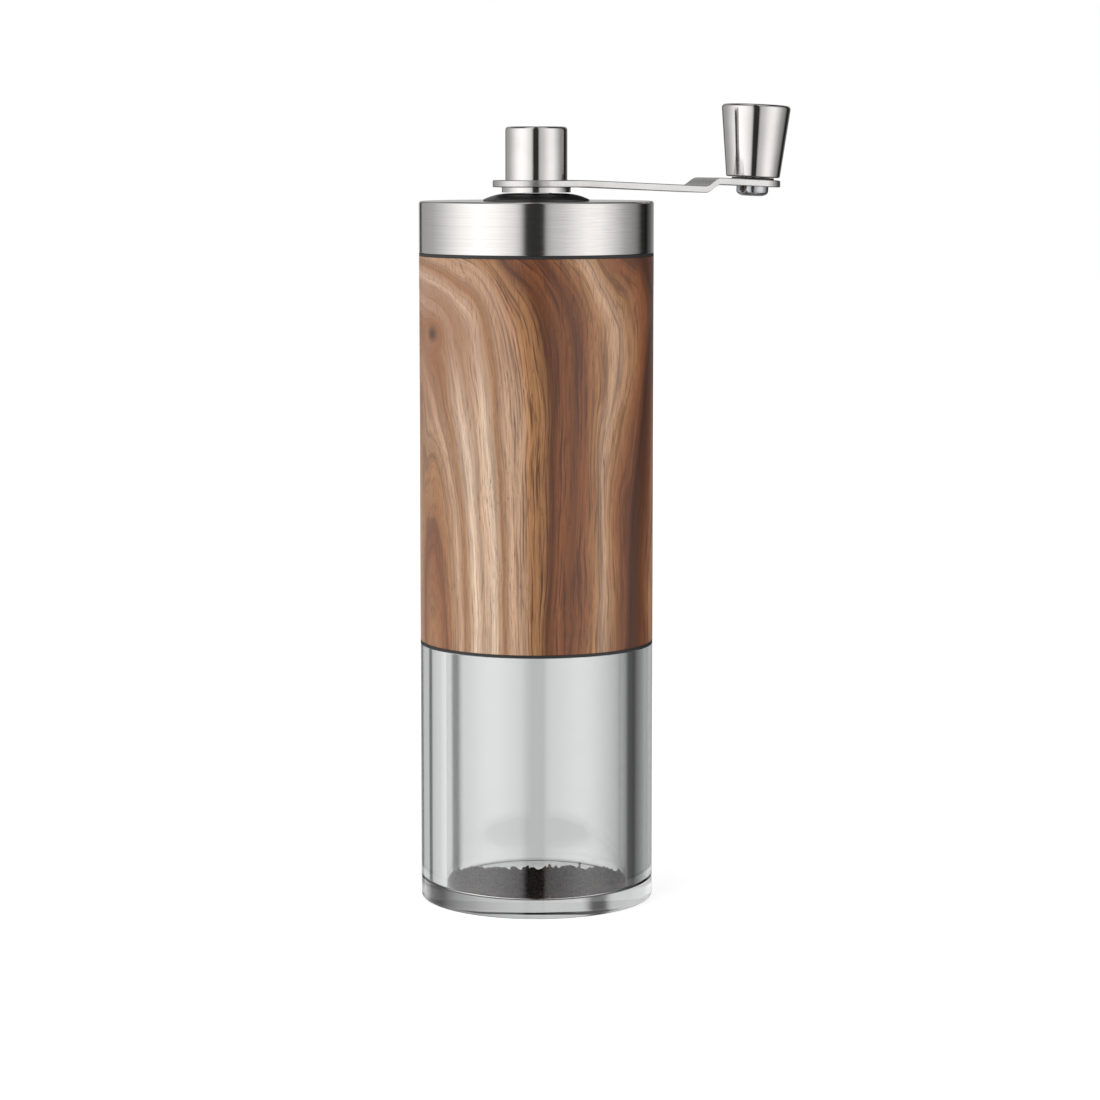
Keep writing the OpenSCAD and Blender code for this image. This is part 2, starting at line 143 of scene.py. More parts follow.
rise_part = add_node(tree, "ShaderNodeMapRange", {
    "Value": split.outputs["Z"], "From Min": -1.0, "From Max": 1.0})
up_tent = add_node(tree, "ShaderNodeValToRGB", {"Fac": rise_part}, stops=[
    ((sine + 1) / 2, grey(light)) for sine, light in tent_rise])
tent_light = add_node(tree, "ShaderNodeMix", {"Factor": 1.0, "A": round_tent, "B": up_tent},
                      data_type="RGBA", blend_type="MULTIPLY")
# Seen directly by the camera, the tent is plain white.
add_node(tree, "ShaderNodeOutputWorld", {"Surface": add_node(tree, "ShaderNodeMixShader", {
    0: add_node(tree, "ShaderNodeLightPath").outputs["Is Camera Ray"],
    1: add_node(tree, "ShaderNodeBackground", {"Color": tent_light, "Strength": tent_strength}),
    2: add_node(tree, "ShaderNodeBackground", {"Color": grey(1), "Strength": 1.0})})})
bpy.context.scene.view_settings.view_transform = "Standard"

floor_span = 6000 * MM
floor_glow = 0.62
mesh = bmesh.new()
bmesh.ops.create_grid(mesh, x_segments=1, y_segments=1, size=floor_span / 2)
floor = bpy.data.objects.new("floor", bpy.data.meshes.new("floor"))
mesh.to_mesh(floor.data)
mesh.free()
bpy.context.scene.collection.objects.link(floor)
material = bpy.data.materials.new("white backdrop paper")
material.use_nodes = True
tree = material.node_tree
tree.nodes.clear()
add_node(tree, "ShaderNodeOutputMaterial", {"Surface": add_node(tree, "ShaderNodeAddShader", {
    0: add_node(tree, "ShaderNodeBsdfDiffuse", {"Color": grey(0.88)}),
    1: add_node(tree, "ShaderNodeEmission", {"Color": grey(1), "Strength": floor_glow})})})
floor.data.materials.append(material)
# The steel doesn't reflect the floor, and the clear cup doesn't show it through its wall.
floor.visible_glossy = False
floor.visible_transmission = False


# --- Grounds cup --------------------------------------------------------------------------------
# A thick-walled cup injection-moulded in clear acrylic. Its neck plugs into the foot of the barrel,
# where a silicone ring in a groove holds it.
def new_piece(name, mesh, material, body, node, sharp_angle=30):
    """Makes an object of the bmesh that stands for a CAD node, smooth apart from its sharp edges.
    It rides on a body, or on none."""
    data = bpy.data.meshes.new(name)
    mesh.to_mesh(data)
    mesh.free()
    for face in data.polygons:
        face.use_smooth = True
    data.set_sharp_from_angle(angle=math.radians(sharp_angle))
    data.materials.append(material)
    piece = bpy.data.objects.new(name, data)
    bpy.context.scene.collection.objects.link(piece)
    if body:
        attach(piece, body)
    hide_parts(node)
    return piece


merge_gap = 0.001 * MM
rounding_steps = 5


def turned(corners, steps=192):
    """Spins a closed outline about Z. Each corner is a radius, a height and how far it is rounded,
    in mm."""
    mesh = bmesh.new()
    points = [mesh.verts.new((radius * MM, 0, height * MM)) for radius, height, *_ in corners]
    on_axis = corners[0][0] == 0
    for start, end in zip(points, points[1:] + ([] if on_axis else points[:1])):
        mesh.edges.new((start, end))
    for point, (_, _, *rounding) in zip(points, corners):
        if rounding:
            bmesh.ops.bevel(mesh, geom=[point], offset=rounding[0] * MM, offset_type="OFFSET",
                            segments=rounding_steps, profile=0.5, affect="VERTICES", material=-1)
    bmesh.ops.spin(mesh, geom=mesh.verts[:] + mesh.edges[:], cent=(0, 0, 0), axis=(0, 0, 1),
                   angle=math.tau, steps=steps, use_merge=True)
    bmesh.ops.remove_doubles(mesh, verts=mesh.verts[:], dist=merge_gap)
    bmesh.ops.recalc_face_normals(mesh, faces=mesh.faces[:])
    return mesh


def weight_normals(piece):
    """Keeps the flat faces beside a small rounding flat to the eye."""
    piece.modifiers.new("weighted normals", "WEIGHTED_NORMAL").keep_sharp = True


def srgb(code):
    """Turns an sRGB hex colour linear."""
    parts = [int(code[i:i + 2], 16) / 255 for i in (1, 3, 5)]
    return tuple(p / 12.92 if p <= 0.04045 else ((p + 0.055) / 1.055) ** 2.4 for p in parts) + (1,)


def new_material(name):
    """Starts a material; returns it, its node tree and the surface's place in millimetres."""
    material = bpy.data.materials.new(name)
    material.use_nodes = True
    tree = material.node_tree
    tree.nodes.clear()
    place = add_node(tree, "ShaderNodeMapping", {
        "Vector": add_node(tree, "ShaderNodeTexCoord").outputs["Object"], "Scale": (1 / MM,) * 3})
    return material, tree, place


def wear(material, *nodes):
    """Gives CAD nodes a material."""
    for name in nodes:
        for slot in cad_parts[name].material_slots:
            slot.material = material


cup_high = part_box("grounds_cup")[1]
cup_r = cup_high.x / MM
cup_top = cup_high.z / MM
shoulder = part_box("lower_trim_ring")[0].z / MM
shoulder_width = 3.05
neck_r = cup_r - shoulder_width
cavity_r = 19.6
cup_floor = 3.2
groove_up, groove_depth, groove_height = 4.2, 1.4, 1.8
groove_low = shoulder + groove_up
groove_high = groove_low + groove_height
groove_r = neck_r - groove_depth

# Clear acrylic from a polished mould: glassy, with a slight flow waviness in the wall.
clear_acrylic, tree, place = new_material("clear moulded acrylic")
flow = add_node(tree, "ShaderNodeTexNoise", {
    "Vector": add_node(tree, "ShaderNodeVectorMath", {0: place, 1: (1, 1, 0.35)},
                       operation="MULTIPLY"),
    "Scale": 1 / 14, "Detail": 1.0})
handling = add_node(tree, "ShaderNodeTexNoise", {"Vector": place, "Scale": 1 / 9, "Detail": 5.0})
add_node(tree, "ShaderNodeOutputMaterial", {"Surface": add_node(tree, "ShaderNodeBsdfPrincipled", {
    "Base Color": srgb("#fafbfb"), "Transmission Weight": 1.0, "IOR": 1.49,
    "Roughness": add_node(tree, "ShaderNodeMapRange", {
        "Value": handling, "From Min": 0.35, "From Max": 0.75, "To Min": 0.0, "To Max": 0.05}),
    "Normal": add_node(tree, "ShaderNodeBump", {
        "Height": flow, "Strength": 0.4, "Distance": 0.05 * MM})})})

cup = new_piece("cup", turned([
    (0, 0), (cup_r, 0, 0.6), (cup_r, shoulder, 0.15), (neck_r, shoulder, 0.2),
    (neck_r, groove_low, 0.1), (groove_r, groove_low), (groove_r, groove_high),
    (neck_r, groove_high, 0.1), (neck_r, cup_top, 0.5), (cavity_r, cup_top, 0.5),
    (cavity_r, cup_floor, 0.8), (0, cup_floor),
], steps=256), clear_acrylic, "cup", "grounds_cup")
weight_normals(cup)

# Peroxide-cured silicone: a soft matte black with a trace of dust.
black_silicone, tree, place = new_material("black silicone")
dust = add_node(tree, "ShaderNodeTexNoise", {"Vector": place, "Scale": 1 / 0.8, "Detail": 6.0})
add_node(tree, "ShaderNodeOutputMaterial", {"Surface": add_node(tree, "ShaderNodeBsdfPrincipled", {
    "Base Color": add_node(tree, "ShaderNodeValToRGB", {"Fac": dust}, stops=[
        (0.35, srgb("#1b1b1d")), (0.7, srgb("#2b2b2c"))]),
    "Roughness": 0.55, "IOR": 1.43,
    "Normal": add_node(tree, "ShaderNodeBump", {
        "Height": dust, "Strength": 0.2, "Distance": 0.02 * MM})})})
wear(black_silicone, "cup_seal", "lid_seal")


# --- Ground coffee ------------------------------------------------------------------------------
# The last of a grind: a thin bed that lies against the front of the cup's floor, with a ragged edge
# towards the back and loose grains over and beyond it.
bed_gap = 0.25
bed_r = cavity_r - bed_gap
bed_h = 1.5
bed_back = 6.5
bed_lift = 0.05
bed_bottom = cup_floor + bed_lift
bed_slope = 3.0
thinnest = 0.02
bed_rings, bed_spokes = 64, 220
to_back = -to_camera

# Medium-dark roast: nearly black in the mass, with browner chaff and a faint oily gloss.
ground_coffee, tree, place = new_material("ground dark-roast coffee")
grains = add_node(tree, "ShaderNodeTexVoronoi", {
    "Vector": place, "Scale": 1 / 0.55, "Randomness": 1.0})
tone = add_node(tree, "ShaderNodeTexWhiteNoise", {"Vector": grains.outputs["Position"]})
add_node(tree, "ShaderNodeOutputMaterial", {"Surface": add_node(tree, "ShaderNodeBsdfPrincipled", {
    "Base Color": add_node(tree, "ShaderNodeValToRGB", {"Fac": tone.outputs["Value"]}, stops=[
        (0.0, srgb("#100708")), (0.6, srgb("#20100f")), (0.9, srgb("#371f1a")),
        (1.0, srgb("#553527"))]),
    "Roughness": 0.75, "Specular IOR Level": 0.25,
    "Normal": add_node(tree, "ShaderNodeBump", {
        "Height": grains.outputs["Distance"], "Strength": 0.8, "Distance": 0.25 * MM})})})


def lumps(x, y, width, layer):
    """Random lumps of about this width in mm, from -1 to 1. Each layer has lumps of its own."""
    return noise.noise(Vector((x / width, y / width, layer)))


def bed_height(x, y):
    """Height of the bed's top above its bottom, in mm; it thins to nothing at its ragged edge."""
    back = x * to_back.x + y * to_back.y
    edge = bed_back + 4.0 * lumps(x, y, 4, 3.0) + 2.5 * lumps(x, y, 1, 7.0)
    rough = 0.7 * lumps(x, y, 0.9, 0) + 0.4 * lumps(x, y, 5, 9.0)
    fall = max(0.0, min(1.0, (edge - back) / bed_slope))
    return max(0.0, (bed_h + rough) * fall ** 0.5)


mesh = bmesh.new()
radius_points = [mesh.verts.new((bed_r * step / bed_rings * MM, 0, 0))
                 for step in range(bed_rings + 1)]
for start, end in zip(radius_points, radius_points[1:]):
    mesh.edges.new((start, end))
bmesh.ops.spin(mesh, geom=mesh.verts[:] + mesh.edges[:], cent=(0, 0, 0), axis=(0, 0, 1),
               angle=math.tau, steps=bed_spokes, use_merge=True)
bmesh.ops.remove_doubles(mesh, verts=mesh.verts[:], dist=merge_gap)
for vert in mesh.verts:
    vert.co.z = (bed_bottom + bed_height(vert.co.x / MM, vert.co.y / MM)) * MM
bare = [v for v in mesh.verts if v.co.z < (bed_bottom + thinnest) * MM]
bmesh.ops.delete(mesh, geom=bare, context="VERTS")
skirt = bmesh.ops.extrude_edge_only(mesh, edges=[e for e in mesh.edges if e.is_boundary])
for item in skirt["geom"]:
    if isinstance(item, bmesh.types.BMVert):
        item.co.z = bed_bottom * MM
bmesh.ops.recalc_face_normals(mesh, faces=mesh.faces[:])

# Loose grains, added a handful at a time. They are sown over the whole floor and kept on the bed
# and, more and more thinly, beyond it.
grain_count = 1500
handful = 50
grain_margin = 1.0
grain_small, grain_large = 0.18, 0.5
grain_lift = 0.35
bare_floor = 0.1
scatter = 1.6
dice = random.Random(7)
for _ in range(grain_count // handful):
    few = bmesh.new()
    for _ in range(handful):
        spread_r = (bed_r - grain_margin) * math.sqrt(dice.random())
        angle = dice.uniform(0, math.tau)
        x, y = spread_r * math.cos(angle), spread_r * math.sin(angle)
        size = dice.uniform(grain_small, grain_large)
        turn = Matrix.Rotation(
            dice.uniform(0, math.tau), 4, Vector((dice.random(), dice.random(), 1)))
        shape = Matrix.Diagonal((1, dice.uniform(0.6, 1), dice.uniform(0.5, 0.9), 1))
        height = bed_height(x, y)
        beyond = x * to_back.x + y * to_back.y - bed_back
        if height < bare_floor and dice.random() > math.exp(-max(beyond, 0) / scatter):
            continue
        grain = bmesh.ops.create_icosphere(few, subdivisions=1, radius=size * MM)
        centre = bed_bottom + max(height + grain_lift * size, size)
        lie = Matrix.Translation(Vector((x, y, centre)) * MM)
        bmesh.ops.transform(few, matrix=lie @ turn @ shape, verts=grain["verts"])
    scattered = bpy.data.meshes.new("handful")
    few.to_mesh(scattered)
    few.free()
    mesh.from_mesh(scattered)
    bpy.data.meshes.remove(scattered)
new_piece("coffee_bed", mesh, ground_coffee, "cup", "coffee_grounds",
          sharp_angle=50)


# --- Barrel -------------------------------------------------------------------------------------
# A black moulded tube in a sleeve of streaky dark veneer under satin lacquer, between two thin
# rubber rings.
sleeve_low, sleeve_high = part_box("wood_sleeve")
sleeve_bottom = sleeve_low.z / MM
sleeve_top = sleeve_high.z / MM
sleeve_r = sleeve_high.x / MM
sleeve_wall = 1.5
sleeve_inner_r = sleeve_r - sleeve_wall

# Flat-sliced figured veneer, lacquered: growth rings run down in long streaks, arch over at the
# upper left round a small knot and fan out upwards at the right, with fine dark lines and short
# pores. The lacquer is satin and thin.
figure_turn = math.radians(21)
wood_veneer, tree, place = new_material("lacquered figured veneer")
grain_place = add_node(tree, "ShaderNodeMapping", {
    "Vector": place, "Rotation": (0, 0, figure_turn)})
height = add_node(tree, "ShaderNodeSeparateXYZ", {"Vector": grain_place}).outputs["Z"]
knot_at = (-21.8, -12.2, sleeve_top - 16)
rise = add_node(tree, "ShaderNodeMapRange", {
    "Value": height, "From Min": sleeve_bottom, "From Max": sleeve_top})

# The streaks fan out upwards from a line up the barrel's front.
fan_from = (6.2, -24.2, 0.0)
fan_by = 0.6
rise_squared = add_node(tree, "ShaderNodeMath", {0: rise, 1: 2.0}, operation="POWER")
fan = add_node(tree, "ShaderNodeMath", {0: rise_squared, 1: fan_by, 2: 1.0},
               operation="MULTIPLY_ADD")
level = add_node(tree, "ShaderNodeVectorMath", {0: grain_place, 1: (1, 1, 0)}, operation="MULTIPLY")
from_fan = add_node(tree, "ShaderNodeVectorMath", {0: level, 1: fan_from}, operation="SUBTRACT")
gathered = add_node(tree, "ShaderNodeVectorMath", {
    0: from_fan, "Scale": add_node(tree, "ShaderNodeMath", {0: 1.0, 1: fan}, operation="DIVIDE")},
    operation="SCALE")
fanned = add_node(tree, "ShaderNodeVectorMath", {0: gathered, 1: fan_from}, operation="ADD")
sway = add_node(tree, "ShaderNodeTexNoise", {
    "Vector": add_node(tree, "ShaderNodeVectorMath", {0: grain_place, 1: (1, 1, 0.4)},
                       operation="MULTIPLY"),
    "Scale": 1 / 16, "Detail": 2.0, "Roughness": 0.4})
sway_offset = add_node(tree, "ShaderNodeVectorMath", {0: sway.outputs["Color"], 1: (0.5, 0.5, 0.5)},
                       operation="SUBTRACT")
swayed = add_node(tree, "ShaderNodeVectorMath", {0: sway_offset, 1: (6.0, 6.0, 0.0), 2: fanned},
                  operation="MULTIPLY_ADD")

# The tree's heart lies outside the barrel, in front and to the left. Above the knot the rings close
# over in arches.
heart = (-26.0, -15.0, 0.0)
arch_steepness = 1.1
ring = add_node(tree, "ShaderNodeVectorMath", {0: swayed, 1: heart}, operation="DISTANCE")
above_knot = add_node(tree, "ShaderNodeMath", {
    0: add_node(tree, "ShaderNodeMath", {0: height, 1: knot_at[2]}, operation="SUBTRACT"), 1: 0.0},
    operation="MAXIMUM")
arch = add_node(tree, "ShaderNodeMath", {0: above_knot, 1: arch_steepness}, operation="MULTIPLY")
arched = add_node(tree, "ShaderNodeVectorMath", {
    0: add_node(tree, "ShaderNodeCombineXYZ", {"X": ring, "Y": arch})}, operation="LENGTH")
knot_off = add_node(tree, "ShaderNodeVectorMath", {0: grain_place, 1: knot_at},
                    operation="SUBTRACT")
knot_near = add_node(tree, "ShaderNodeVectorMath", {0: knot_off, 1: (1 / 6, 1 / 6, 1 / 5)},
                     operation="MULTIPLY")
knot_span = add_node(tree, "ShaderNodeVectorMath", {0: knot_near}, operation="LENGTH")
knot_push = add_node(tree, "ShaderNodeMapRange", {
    "Value": knot_span, "From Min": 0.0, "From Max": 1.0, "To Min": -3.0, "To Max": 0.0},
    interpolation_type="SMOOTHSTEP")
ring_mm = add_node(tree, "ShaderNodeMath", {0: arched, 1: knot_push}, operation="ADD")

pale, buff, tan = "#cdb299", "#b28f73", "#986c46"
brown, umber, deep = "#7e4b2a", "#5f351b", "#3b1e10"
ring_span = 60.0
growth = [
    (0, brown), (4, tan), (6.5, brown), (8, tan), (10.4, buff), (12.5, tan), (15, pale), (17, buff),
    (19.5, pale), (21.5, tan), (23, buff), (25.5, buff), (27.5, tan), (29.2, tan), (31, umber),
    (33, brown), (35, umber), (36.5, brown), (38.3, tan), (40, buff), (41.5, tan), (43, brown),
    (45, deep), (47.5, umber), (49, brown), (50.5, tan), (52, brown), (53.5, buff), (55, brown),
    (56, tan), (57.5, umber), (60, tan),
]
figure = add_node(tree, "ShaderNodeValToRGB", {
    "Fac": add_node(tree, "ShaderNodeMath", {0: ring_mm, 1: ring_span}, operation="DIVIDE")},
    stops=[(at / ring_span, srgb(code)) for at, code in growth])

# Growth lines and streaks keep to the rings and change slowly up the barrel. The lines are closest
# and darkest in the middle rings.
ring_place = add_node(tree, "ShaderNodeCombineXYZ", {
    "X": ring_mm, "Y": add_node(tree, "ShaderNodeMath", {0: height, 1: 0.02}, operation="MULTIPLY"),
    "Z": add_node(tree, "ShaderNodeVectorMath", {0: grain_place, 1: (0.05, 0.04, 0.0)},
                  operation="DOT_PRODUCT")})
streak_noise = add_node(tree, "ShaderNodeTexNoise", {
    "Vector": ring_place, "Scale": 0.7, "Detail": 3.0, "Roughness": 0.6})
streaks = add_node(tree, "ShaderNodeMapRange", {
    "Value": streak_noise, "From Min": 0.3, "From Max": 0.7, "To Min": 0.72, "To Max": 1.25})
line_noise = add_node(tree, "ShaderNodeTexNoise", {
    "Vector": ring_place, "Scale": 2.4, "Detail": 3.0, "Roughness": 0.65})
line_depth = add_node(tree, "ShaderNodeValToRGB", {
    "Fac": add_node(tree, "ShaderNodeMath", {0: ring_mm, 1: ring_span}, operation="DIVIDE")},
    stops=[(0, grey(0.5)), (0.2, grey(0.35)), (0.38, grey(0.3)), (0.46, grey(0.85)),
           (0.6, grey(0.85)), (0.66, grey(0.4)), (0.8, grey(0.7)), (1.0, grey(0.7))])
lines = add_node(tree, "ShaderNodeMath", {
    0: line_depth, 1: add_node(tree, "ShaderNodeMapRange", {
        "Value": line_noise, "From Min": 0.49, "From Max": 0.62})}, operation="MULTIPLY")

# Fibres, drawn about three times as coarse as they are, and pores a few millimetres long.
fibre_noise = add_node(tree, "ShaderNodeTexNoise", {
    "Vector": add_node(tree, "ShaderNodeVectorMath", {
        0: add_node(tree, "ShaderNodeVectorMath", {
            0: swayed, 1: add_node(tree, "ShaderNodeCombineXYZ", {"Z": height})}, operation="ADD"),
        1: (4.5, 4.5, 0.16)}, operation="MULTIPLY"),
    "Scale": 1.0, "Detail": 3.0, "Roughness": 0.65})
fibres = add_node(tree, "ShaderNodeMapRange", {
    "Value": fibre_noise, "From Min": 0.3, "From Max": 0.7, "To Min": 0.8, "To Max": 1.18})
shade = add_node(tree, "ShaderNodeMath", {0: streaks, 1: fibres}, operation="MULTIPLY")
streaked = add_node(tree, "ShaderNodeVectorMath", {0: figure, "Scale": shade}, operation="SCALE")
lined = add_node(tree, "ShaderNodeMix", {"Factor": lines, "A": streaked, "B": srgb("#4a2816")},
                 data_type="RGBA")
pores = add_node(tree, "ShaderNodeMapRange", {
    "Value": fibre_noise, "From Min": 0.3, "From Max": 0.42, "To Min": 0.45, "To Max": 0.0})
pored = add_node(tree, "ShaderNodeMix", {"Factor": pores, "A": lined, "B": srgb("#3d2416")},
                 data_type="RGBA")
# Round the knot the wood is an even brown, which hides its lines, and the knot's core is nearly
# black.
knot_stain = add_node(tree, "ShaderNodeMapRange", {
    "Value": knot_span, "From Min": 0.3, "From Max": 4.5, "To Min": 0.85, "To Max": 0.0})
stained = add_node(tree, "ShaderNodeMix", {"Factor": knot_stain, "A": pored, "B": srgb("#875736")},
                   data_type="RGBA")
knot_core = add_node(tree, "ShaderNodeMapRange", {
    "Value": knot_span, "From Min": 0.1, "From Max": 0.45, "To Min": 0.8, "To Max": 0.0})
wood_colour = add_node(tree, "ShaderNodeMix", {
    "Factor": knot_core, "A": stained, "B": srgb("#2c180d")}, data_type="RGBA")
add_node(tree, "ShaderNodeOutputMaterial", {"Surface": add_node(tree, "ShaderNodeBsdfPrincipled", {
    "Base Color": wood_colour, "Roughness": 0.5, "Specular IOR Level": 0.25,
    "Coat Weight": 0.3, "Coat Roughness": 0.2, "Coat IOR": 1.5,
    "Normal": add_node(tree, "ShaderNodeBump", {
        "Height": fibre_noise, "Strength": 0.25, "Distance": 0.04 * MM})})})

sleeve = new_piece("veneer_sleeve", turned([
    (sleeve_inner_r, sleeve_bottom), (sleeve_r, sleeve_bottom, 0.15), (sleeve_r, sleeve_top, 0.15),
    (sleeve_inner_r, sleeve_top)]), wood_veneer, "barrel", "wood_sleeve")
weight_normals(sleeve)


def moulded(name, low, high, grain_mm, roughness, relief_mm):
    """A moulded plastic: two close tones and a fine texture left by the mould."""
    unevenness = 0.06
    material, tree, place = new_material(name)
    grain = add_node(tree, "ShaderNodeTexNoise", {
        "Vector": place, "Scale": 1 / grain_mm, "Detail": 3.0})
    cloud = add_node(tree, "ShaderNodeTexNoise", {"Vector": place, "Scale": 1 / 7, "Detail": 2.0})
    add_node(tree, "ShaderNodeOutputMaterial", {"Surface": add_node(tree, "ShaderNodeBsdfPrincipled", {
        "Base Color": add_node(tree, "ShaderNodeValToRGB", {"Fac": cloud}, stops=[
            (0.3, srgb(low)), (0.7, srgb(high))]),
        "Roughness": add_node(tree, "ShaderNodeMapRange", {
            "Value": grain, "From Min": 0.3, "From Max": 0.7,
            "To Min": roughness - unevenness, "To Max": roughness + unevenness}),
        "Normal": add_node(tree, "ShaderNodeBump", {
            "Height": grain, "Strength": 0.5, "Distance": relief_mm * MM})})})
    return material


# ABS off a lightly textured mould: black, between satin and gloss.
black_plastic = moulded("black moulded ABS", "#131314", "#19191b", 0.3, 0.38, 0.01)
wear(black_plastic, "inner_housing", "lid_insert")
# Nitrile rubber cord, ground to size: a dull flat black.
black_rubber = moulded("black nitrile rubber", "#0c0c0d", "#131314", 0.25, 0.6, 0.015)
wear(black_rubber, "lower_trim_ring", "upper_trim_ring")


# --- Burr set -----------------------------------------------------------------------------------
# The outer burr sits in a glass-filled nylon carrier, held down by a retainer ring and three long
# screws that also clamp the spider, whose bushes guide the shaft.

# Glass-filled nylon: dark grey, matte, with a mottled skin where the fibres lie near the surface.
grey_nylon = moulded("glass-filled grey nylon", "#35363a", "#46474b", 0.5, 0.52, 0.03)
wear(grey_nylon, "burr_carrier", "burr_retainer", "bearing_spider")
# Acetal: waxy off-white, smooth off the lathe.
acetal = moulded("off-white acetal", "#d8d2c2", "#e4dfd1", 1.2, 0.36, 0.004)
wear(acetal, "upper_bush", "lower_bush", "knob_bush")

# Sintered zirconia-toughened alumina, unglazed: chalky off-white with fine grey specks.
white_ceramic, tree, place = new_material("unglazed alumina ceramic")
specks = add_node(tree, "ShaderNodeTexNoise", {"Vector": place, "Scale": 1 / 0.35, "Detail": 4.0})
sinter = add_node(tree, "ShaderNodeTexVoronoi", {"Vector": place, "Scale": 1 / 0.12})
add_node(tree, "ShaderNodeOutputMaterial", {"Surface": add_node(tree, "ShaderNodeBsdfPrincipled", {
    "Base Color": add_node(tree, "ShaderNodeValToRGB", {"Fac": specks}, stops=[
        (0.28, srgb("#b9b3a4")), (0.42, srgb("#ded9cc")), (0.7, srgb("#ece8dd"))]),
    "Roughness": 0.5,
    "Normal": add_node(tree, "ShaderNodeBump", {
        "Height": sinter.outputs["Distance"], "Strength": 0.3, "Distance": 0.02 * MM})})})
wear(white_ceramic, "outer_burr", "inner_burr")


def steel(name, dark, bright, mottle_mm, roughness, lathe_mm=0.0, relief_mm=0.004):
    """A steel surface: two close tones in a mottle, and fine lathe lines where lathe_mm is their
    pitch."""
    unevenness = 0.25
    material, tree, place = new_material(name)
    mottle = add_node(tree, "ShaderNodeTexNoise", {
        "Vector": place, "Scale": 1 / mottle_mm, "Detail": 4.0})
    if lathe_mm:
        level = add_node(tree, "ShaderNodeVectorMath", {0: place, 1: (1, 1, 0)},
                         operation="MULTIPLY")
        radius = add_node(tree, "ShaderNodeVectorMath", {0: level}, operation="LENGTH")
        height = add_node(tree, "ShaderNodeSeparateXYZ", {"Vector": place}).outputs["Z"]
        cut_place = add_node(tree, "ShaderNodeCombineXYZ", {"X": radius, "Y": height})
        relief = add_node(tree, "ShaderNodeTexNoise", {
            "Vector": cut_place, "Scale": 1 / lathe_mm, "Detail": 3.0, "Roughness": 0.7})
    else:
        relief = mottle
    add_node(tree, "ShaderNodeOutputMaterial", {"Surface": add_node(tree, "ShaderNodeBsdfPrincipled", {
        "Metallic": 1.0,
        "Base Color": add_node(tree, "ShaderNodeValToRGB", {"Fac": mottle}, stops=[
            (0.3, srgb(dark)), (0.7, srgb(bright))]),
        "Roughness": add_node(tree, "ShaderNodeMapRange", {
            "Value": relief, "From Min": 0.3, "From Max": 0.7,
            "To Min": roughness * (1 - unevenness), "To Max": roughness * (1 + unevenness)}),
        "Normal": add_node(tree, "ShaderNodeBump", {
            "Height": relief, "Strength": 0.5, "Distance": relief_mm * MM})})})
    return material


# Bright zinc plate over cold-headed steel: silvery with a faint cool cast and a soft shine.
zinc_plated = steel("bright zinc-plated steel", "#9a9b9e", "#adaeb0", 0.8, 0.2, relief_mm=0.002)
wear(zinc_plated, "carrier_screws", "knob_screw")


# --- Shaft and adjuster -------------------------------------------------------------------------
# A turned steel shaft with a hexagonal end. The inner burr, its drive plate and click plate hang on
# its flats against a spring, and a finger nut on its thread sets their height.

# Free-cutting stainless off the lathe: fine turning lines.
machined_steel = steel(
    "turned stainless steel", "#a9acaf", "#bcbfc1", 3.0, 0.24, lathe_mm=0.12, relief_mm=0.006)
wear(machined_steel, "drive_shaft", "thrust_washer", "spring_washer", "burr_drive_plate")
# Spring steel, tempered and lightly oiled: a darker, bluish grey.
spring_steel = steel("tempered spring steel", "#6d7077", "#858a93", 1.6, 0.33)
wear(spring_steel, "shaft_circlip", "click_plate", "knob_clip")

# The burr's spring: six turns of wire, the first and last closed. It stretches between the shaft's
# upper washer and the burr's pocket.
spring_low, spring_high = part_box("burr_spring")
wire_r = 0.35
wire_sides = 12
coil_r = spring_high.x / MM - wire_r
turn_steps = 48
closed_rise = 2 * wire_r
open_turns = 4
open_rise = (spring_high.z - spring_low.z) / MM - 2 * wire_r - 2 * closed_rise
mesh = bmesh.new()
bmesh.ops.create_circle(mesh, radius=wire_r * MM, segments=wire_sides)
bmesh.ops.rotate(mesh, verts=mesh.verts[:], cent=(0, 0, 0),
                 matrix=Matrix.Rotation(math.pi / 2, 3, "X"))
bmesh.ops.translate(mesh, verts=mesh.verts[:], vec=(coil_r * MM, 0, spring_low.z + wire_r * MM))
wire_end = mesh.verts[:] + mesh.edges[:]
for turns, rise in ((1, closed_rise), (open_turns, open_rise), (1, closed_rise)):
    steps = turn_steps * turns
    wire_end = bmesh.ops.spin(
        mesh, geom=wire_end, cent=(0, 0, 0), axis=(0, 0, 1), angle=math.tau * turns, steps=steps,
        dvec=(0, 0, rise / steps * MM))["geom_last"]
bmesh.ops.holes_fill(mesh, edges=[e for e in mesh.edges if e.is_boundary])
bmesh.ops.recalc_face_normals(mesh, faces=mesh.faces[:])
spring = new_piece("spring_coil", mesh, spring_steel, None, "burr_spring")
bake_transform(spring)

# Plain nylon, black all through, from a spark-eroded mould: matte.
black_nylon = moulded("black moulded nylon", "#161618", "#1e1e20", 0.35, 0.5, 0.02)
wear(black_nylon, "adjusting_nut", "knob_washer")


# --- Lid ----------------------------------------------------------------------------------------
# A drawn stainless cap, brushed as it turned, pressed over a black moulded core that plugs the
# barrel's mouth.
shell_low, shell_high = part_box("lid_shell")
shell_r = shell_high.x / MM
shell_bottom = shell_low.z / MM
shell_top = shell_high.z / MM
shell_wall = 0.8
dome_rim_r = 11.35

